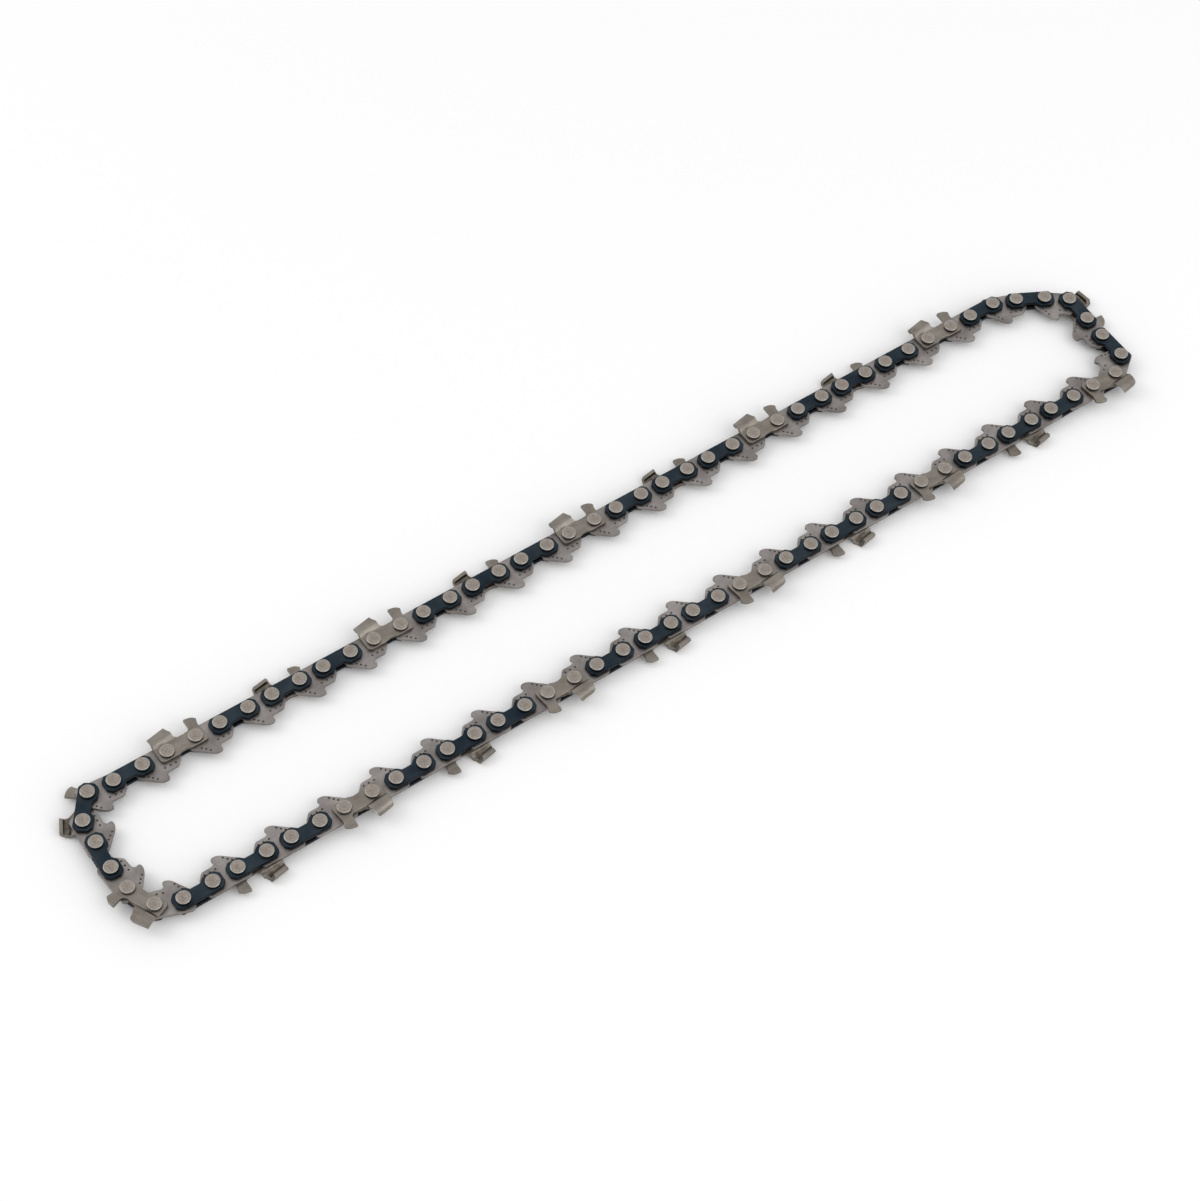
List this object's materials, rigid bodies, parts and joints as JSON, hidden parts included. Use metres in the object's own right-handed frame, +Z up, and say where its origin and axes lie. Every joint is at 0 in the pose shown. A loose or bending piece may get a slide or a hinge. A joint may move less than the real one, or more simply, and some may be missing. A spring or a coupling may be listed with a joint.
{
  "type": "chainsaw chain loop",
  "caption": "Closed low-profile saw chain loop lying on its side: drive links with hooked tangs, tie straps and alternating left and right cutters on rivets.",
  "frame": {"origin": "middle of the loop's bounding box, on the ground that it lies on", "axes": "+X along the loop's long axis, in the running direction of the run on the +Y side; +Z up, along the rivets"},
  "size_m": [0.3994, 0.0628, 0.0068],
  "materials": {
    "blued_steel": "blued, satin",
    "bright_steel": "rolled and ground"
  },
  "bodies": {
    "tie_strap_pitch_01": {"tie_strap_pitch_01": "blued_steel"},
    "right_cutter_pitch_01": {"right_cutter_pitch_01": "bright_steel"},
    "tie_strap_pitch_02": {"tie_strap_pitch_02": "blued_steel"},
    "left_cutter_pitch_01": {"left_cutter_pitch_01": "bright_steel"},
    "tie_strap_pitch_03": {"tie_strap_pitch_03": "blued_steel"},
    "right_cutter_pitch_02": {"right_cutter_pitch_02": "bright_steel"},
    "tie_strap_pitch_04": {"tie_strap_pitch_04": "blued_steel"},
    "left_cutter_pitch_02": {"left_cutter_pitch_02": "bright_steel"},
    "tie_strap_pitch_05": {"tie_strap_pitch_05": "blued_steel"},
    "right_cutter_pitch_03": {"right_cutter_pitch_03": "bright_steel"},
    "tie_strap_pitch_06": {"tie_strap_pitch_06": "blued_steel"},
    "left_cutter_pitch_03": {"left_cutter_pitch_03": "bright_steel"},
    "tie_strap_pitch_07": {"tie_strap_pitch_07": "blued_steel"},
    "right_cutter_pitch_04": {"right_cutter_pitch_04": "bright_steel"},
    "tie_strap_pitch_08": {"tie_strap_pitch_08": "blued_steel"},
    "left_cutter_pitch_04": {"left_cutter_pitch_04": "bright_steel"},
    "tie_strap_pitch_09": {"tie_strap_pitch_09": "blued_steel"},
    "right_cutter_pitch_05": {"right_cutter_pitch_05": "bright_steel"},
    "tie_strap_pitch_10": {"tie_strap_pitch_10": "blued_steel"},
    "left_cutter_pitch_05": {"left_cutter_pitch_05": "bright_steel"},
    "tie_strap_pitch_11": {"tie_strap_pitch_11": "blued_steel"},
    "right_cutter_pitch_06": {"right_cutter_pitch_06": "bright_steel"},
    "tie_strap_pitch_12": {"tie_strap_pitch_12": "blued_steel"},
    "left_cutter_pitch_06": {"left_cutter_pitch_06": "bright_steel"},
    "tie_strap_pitch_13": {"tie_strap_pitch_13": "blued_steel"},
    "right_cutter_pitch_07": {"right_cutter_pitch_07": "bright_steel"},
    "tie_strap_pitch_14": {"tie_strap_pitch_14": "blued_steel"},
    "left_cutter_pitch_07": {"left_cutter_pitch_07": "bright_steel"},
    "tie_strap_pitch_15": {"tie_strap_pitch_15": "blued_steel"},
    "right_cutter_pitch_08": {"right_cutter_pitch_08": "bright_steel"},
    "tie_strap_pitch_16": {"tie_strap_pitch_16": "blued_steel"},
    "left_cutter_pitch_08": {"left_cutter_pitch_08": "bright_steel"},
    "tie_strap_pitch_17": {"tie_strap_pitch_17": "blued_steel"},
    "right_cutter_pitch_09": {"right_cutter_pitch_09": "bright_steel"},
    "tie_strap_pitch_18": {"tie_strap_pitch_18": "blued_steel"},
    "left_cutter_pitch_09": {"left_cutter_pitch_09": "bright_steel"},
    "tie_strap_pitch_19": {"tie_strap_pitch_19": "blued_steel"},
    "right_cutter_pitch_10": {"right_cutter_pitch_10": "bright_steel"},
    "tie_strap_pitch_20": {"tie_strap_pitch_20": "blued_steel"},
    "left_cutter_pitch_10": {"left_cutter_pitch_10": "bright_steel"},
    "tie_strap_pitch_21": {"tie_strap_pitch_21": "blued_steel"},
    "right_cutter_pitch_11": {"right_cutter_pitch_11": "bright_steel"},
    "tie_strap_pitch_22": {"tie_strap_pitch_22": "blued_steel"},
    "left_cutter_pitch_11": {"left_cutter_pitch_11": "bright_steel"},
    "tie_strap_pitch_23": {"tie_strap_pitch_23": "blued_steel"}
  },
  "joints": [
    {"name": "pivot_01", "type": "hinge", "parent": "tie_strap_pitch_23", "child": "tie_strap_pitch_01", "pos_m": [0.17619, 0.02041, 0.00338], "axis": [0, 0, 1], "range_deg": [-10, 10]},
    {"name": "pivot_02", "type": "hinge", "parent": "tie_strap_pitch_01", "child": "right_cutter_pitch_01", "pos_m": [0.19183, 0.0104, 0.00338], "axis": [0, 0, 1], "range_deg": [-10, 10]},
    {"name": "pivot_03", "type": "hinge", "parent": "right_cutter_pitch_01", "child": "tie_strap_pitch_02", "pos_m": [0.19085, -0.00821, 0.00338], "axis": [0, 0, 1], "range_deg": [-10, 10]},
    {"name": "pivot_04", "type": "hinge", "parent": "tie_strap_pitch_02", "child": "left_cutter_pitch_01", "pos_m": [0.18375, -0.02335, 0.00338], "axis": [0, 0, 1], "range_deg": [-15, 15]},
    {"name": "pivot_05", "type": "hinge", "parent": "left_cutter_pitch_01", "child": "tie_strap_pitch_03", "pos_m": [0.16511, -0.02335, 0.00338], "axis": [0, 0, 1], "range_deg": [-15, 15]},
    {"name": "pivot_06", "type": "hinge", "parent": "tie_strap_pitch_03", "child": "right_cutter_pitch_02", "pos_m": [0.14647, -0.02335, 0.00338], "axis": [0, 0, 1], "range_deg": [-15, 15]},
    {"name": "pivot_07", "type": "hinge", "parent": "right_cutter_pitch_02", "child": "tie_strap_pitch_04", "pos_m": [0.12783, -0.02335, 0.00338], "axis": [0, 0, 1], "range_deg": [-15, 15]},
    {"name": "pivot_08", "type": "hinge", "parent": "tie_strap_pitch_04", "child": "left_cutter_pitch_02", "pos_m": [0.10919, -0.02335, 0.00338], "axis": [0, 0, 1], "range_deg": [-15, 15]},
    {"name": "pivot_09", "type": "hinge", "parent": "left_cutter_pitch_02", "child": "tie_strap_pitch_05", "pos_m": [0.09055, -0.02335, 0.00338], "axis": [0, 0, 1], "range_deg": [-15, 15]},
    {"name": "pivot_10", "type": "hinge", "parent": "tie_strap_pitch_05", "child": "right_cutter_pitch_03", "pos_m": [0.07191, -0.02335, 0.00338], "axis": [0, 0, 1], "range_deg": [-15, 15]},
    {"name": "pivot_11", "type": "hinge", "parent": "right_cutter_pitch_03", "child": "tie_strap_pitch_06", "pos_m": [0.05327, -0.02335, 0.00338], "axis": [0, 0, 1], "range_deg": [-15, 15]},
    {"name": "pivot_12", "type": "hinge", "parent": "tie_strap_pitch_06", "child": "left_cutter_pitch_03", "pos_m": [0.03463, -0.02335, 0.00338], "axis": [0, 0, 1], "range_deg": [-15, 15]},
    {"name": "pivot_13", "type": "hinge", "parent": "left_cutter_pitch_03", "child": "tie_strap_pitch_07", "pos_m": [0.01599, -0.02335, 0.00338], "axis": [0, 0, 1], "range_deg": [-15, 15]},
    {"name": "pivot_15", "type": "hinge", "parent": "tie_strap_pitch_08", "child": "right_cutter_pitch_04", "pos_m": [-0.02129, -0.02335, 0.00338], "axis": [0, 0, 1], "range_deg": [-15, 15]},
    {"name": "pivot_16", "type": "hinge", "parent": "left_cutter_pitch_04", "child": "tie_strap_pitch_08", "pos_m": [-0.03993, -0.02335, 0.00338], "axis": [0, 0, 1], "range_deg": [-15, 15]},
    {"name": "pivot_17", "type": "hinge", "parent": "tie_strap_pitch_09", "child": "left_cutter_pitch_04", "pos_m": [-0.05857, -0.02335, 0.00338], "axis": [0, 0, 1], "range_deg": [-15, 15]},
    {"name": "pivot_18", "type": "hinge", "parent": "right_cutter_pitch_05", "child": "tie_strap_pitch_09", "pos_m": [-0.07721, -0.02335, 0.00338], "axis": [0, 0, 1], "range_deg": [-15, 15]},
    {"name": "pivot_19", "type": "hinge", "parent": "tie_strap_pitch_10", "child": "right_cutter_pitch_05", "pos_m": [-0.09585, -0.02335, 0.00338], "axis": [0, 0, 1], "range_deg": [-15, 15]},
    {"name": "pivot_20", "type": "hinge", "parent": "left_cutter_pitch_05", "child": "tie_strap_pitch_10", "pos_m": [-0.11449, -0.02335, 0.00338], "axis": [0, 0, 1], "range_deg": [-15, 15]},
    {"name": "pivot_21", "type": "hinge", "parent": "tie_strap_pitch_11", "child": "left_cutter_pitch_05", "pos_m": [-0.13313, -0.02335, 0.00338], "axis": [0, 0, 1], "range_deg": [-15, 15]},
    {"name": "pivot_22", "type": "hinge", "parent": "right_cutter_pitch_06", "child": "tie_strap_pitch_11", "pos_m": [-0.15177, -0.02335, 0.00338], "axis": [0, 0, 1], "range_deg": [-15, 15]},
    {"name": "pivot_23", "type": "hinge", "parent": "tie_strap_pitch_12", "child": "right_cutter_pitch_06", "pos_m": [-0.17041, -0.02335, 0.00338], "axis": [0, 0, 1], "range_deg": [-10, 10]},
    {"name": "pivot_24", "type": "hinge", "parent": "left_cutter_pitch_06", "child": "tie_strap_pitch_12", "pos_m": [-0.18853, -0.02041, 0.00338], "axis": [0, 0, 1], "range_deg": [-10, 10]},
    {"name": "pivot_25", "type": "hinge", "parent": "tie_strap_pitch_13", "child": "left_cutter_pitch_06", "pos_m": [-0.19304, -0.00253, 0.00338], "axis": [0, 0, 1], "range_deg": [-10, 10]},
    {"name": "pivot_26", "type": "hinge", "parent": "right_cutter_pitch_07", "child": "tie_strap_pitch_13", "pos_m": [-0.19206, 0.01608, 0.00338], "axis": [0, 0, 1], "range_deg": [-10, 10]},
    {"name": "pivot_27", "type": "hinge", "parent": "tie_strap_pitch_14", "child": "right_cutter_pitch_07", "pos_m": [-0.17745, 0.02335, 0.00338], "axis": [0, 0, 1], "range_deg": [-15, 15]},
    {"name": "pivot_28", "type": "hinge", "parent": "left_cutter_pitch_07", "child": "tie_strap_pitch_14", "pos_m": [-0.15881, 0.02335, 0.00338], "axis": [0, 0, 1], "range_deg": [-15, 15]},
    {"name": "pivot_29", "type": "hinge", "parent": "tie_strap_pitch_15", "child": "left_cutter_pitch_07", "pos_m": [-0.14017, 0.02335, 0.00338], "axis": [0, 0, 1], "range_deg": [-15, 15]},
    {"name": "pivot_30", "type": "hinge", "parent": "right_cutter_pitch_08", "child": "tie_strap_pitch_15", "pos_m": [-0.12153, 0.02335, 0.00338], "axis": [0, 0, 1], "range_deg": [-15, 15]},
    {"name": "pivot_31", "type": "hinge", "parent": "tie_strap_pitch_16", "child": "right_cutter_pitch_08", "pos_m": [-0.10289, 0.02335, 0.00338], "axis": [0, 0, 1], "range_deg": [-15, 15]},
    {"name": "pivot_32", "type": "hinge", "parent": "left_cutter_pitch_08", "child": "tie_strap_pitch_16", "pos_m": [-0.08425, 0.02335, 0.00338], "axis": [0, 0, 1], "range_deg": [-15, 15]},
    {"name": "pivot_33", "type": "hinge", "parent": "tie_strap_pitch_17", "child": "left_cutter_pitch_08", "pos_m": [-0.06561, 0.02335, 0.00338], "axis": [0, 0, 1], "range_deg": [-15, 15]},
    {"name": "pivot_34", "type": "hinge", "parent": "right_cutter_pitch_09", "child": "tie_strap_pitch_17", "pos_m": [-0.04697, 0.02335, 0.00338], "axis": [0, 0, 1], "range_deg": [-15, 15]},
    {"name": "pivot_35", "type": "hinge", "parent": "tie_strap_pitch_18", "child": "right_cutter_pitch_09", "pos_m": [-0.02833, 0.02335, 0.00338], "axis": [0, 0, 1], "range_deg": [-15, 15]},
    {"name": "pivot_36", "type": "hinge", "parent": "left_cutter_pitch_09", "child": "tie_strap_pitch_18", "pos_m": [-0.00969, 0.02335, 0.00338], "axis": [0, 0, 1], "range_deg": [-15, 15]},
    {"name": "pivot_37", "type": "hinge", "parent": "left_cutter_pitch_09", "child": "tie_strap_pitch_19", "pos_m": [0.00895, 0.02335, 0.00338], "axis": [0, 0, 1], "range_deg": [-15, 15]},
    {"name": "pivot_38", "type": "hinge", "parent": "tie_strap_pitch_19", "child": "right_cutter_pitch_10", "pos_m": [0.02759, 0.02335, 0.00338], "axis": [0, 0, 1], "range_deg": [-15, 15]},
    {"name": "pivot_39", "type": "hinge", "parent": "right_cutter_pitch_10", "child": "tie_strap_pitch_20", "pos_m": [0.04623, 0.02335, 0.00338], "axis": [0, 0, 1], "range_deg": [-15, 15]},
    {"name": "pivot_40", "type": "hinge", "parent": "tie_strap_pitch_20", "child": "left_cutter_pitch_10", "pos_m": [0.06487, 0.02335, 0.00338], "axis": [0, 0, 1], "range_deg": [-15, 15]},
    {"name": "pivot_41", "type": "hinge", "parent": "left_cutter_pitch_10", "child": "tie_strap_pitch_21", "pos_m": [0.08351, 0.02335, 0.00338], "axis": [0, 0, 1], "range_deg": [-15, 15]},
    {"name": "pivot_42", "type": "hinge", "parent": "tie_strap_pitch_21", "child": "right_cutter_pitch_11", "pos_m": [0.10215, 0.02335, 0.00338], "axis": [0, 0, 1], "range_deg": [-15, 15]},
    {"name": "pivot_43", "type": "hinge", "parent": "right_cutter_pitch_11", "child": "tie_strap_pitch_22", "pos_m": [0.12079, 0.02335, 0.00338], "axis": [0, 0, 1], "range_deg": [-15, 15]},
    {"name": "pivot_44", "type": "hinge", "parent": "tie_strap_pitch_22", "child": "left_cutter_pitch_11", "pos_m": [0.13943, 0.02335, 0.00338], "axis": [0, 0, 1], "range_deg": [-15, 15]},
    {"name": "pivot_45", "type": "hinge", "parent": "left_cutter_pitch_11", "child": "tie_strap_pitch_23", "pos_m": [0.15807, 0.02335, 0.00338], "axis": [0, 0, 1], "range_deg": [-10, 10]}
  ],
  "couplings": [
    {"joint": "pivot_44", "follows": "pivot_43", "ratio": -1},
    {"joint": "pivot_04", "follows": "pivot_43", "ratio": 1},
    {"joint": "pivot_05", "follows": "pivot_43", "ratio": -1},
    {"joint": "pivot_42", "follows": "pivot_41", "ratio": -1},
    {"joint": "pivot_06", "follows": "pivot_41", "ratio": 1},
    {"joint": "pivot_07", "follows": "pivot_41", "ratio": -1},
    {"joint": "pivot_40", "follows": "pivot_39", "ratio": -1},
    {"joint": "pivot_08", "follows": "pivot_39", "ratio": 1},
    {"joint": "pivot_09", "follows": "pivot_39", "ratio": -1},
    {"joint": "pivot_38", "follows": "pivot_37", "ratio": -1},
    {"joint": "pivot_10", "follows": "pivot_37", "ratio": 1},
    {"joint": "pivot_11", "follows": "pivot_37", "ratio": -1},
    {"joint": "pivot_35", "follows": "pivot_36", "ratio": -1},
    {"joint": "pivot_12", "follows": "pivot_36", "ratio": 1},
    {"joint": "pivot_13", "follows": "pivot_36", "ratio": -1},
    {"joint": "pivot_33", "follows": "pivot_34", "ratio": -1},
    {"joint": "pivot_16", "follows": "pivot_34", "ratio": 1},
    {"joint": "pivot_15", "follows": "pivot_34", "ratio": -1},
    {"joint": "pivot_31", "follows": "pivot_32", "ratio": -1},
    {"joint": "pivot_18", "follows": "pivot_32", "ratio": 1},
    {"joint": "pivot_17", "follows": "pivot_32", "ratio": -1},
    {"joint": "pivot_29", "follows": "pivot_30", "ratio": -1},
    {"joint": "pivot_20", "follows": "pivot_30", "ratio": 1},
    {"joint": "pivot_19", "follows": "pivot_30", "ratio": -1},
    {"joint": "pivot_27", "follows": "pivot_28", "ratio": -1},
    {"joint": "pivot_22", "follows": "pivot_28", "ratio": 1},
    {"joint": "pivot_21", "follows": "pivot_28", "ratio": -1},
    {"joint": "pivot_01", "follows": "pivot_45", "ratio": -1},
    {"joint": "pivot_24", "follows": "pivot_45", "ratio": 1},
    {"joint": "pivot_23", "follows": "pivot_45", "ratio": -1},
    {"joint": "pivot_02", "follows": "pivot_26", "ratio": 1},
    {"joint": "pivot_25", "follows": "pivot_26", "ratio": -1},
    {"joint": "pivot_03", "follows": "pivot_26", "ratio": -1}
  ]
}
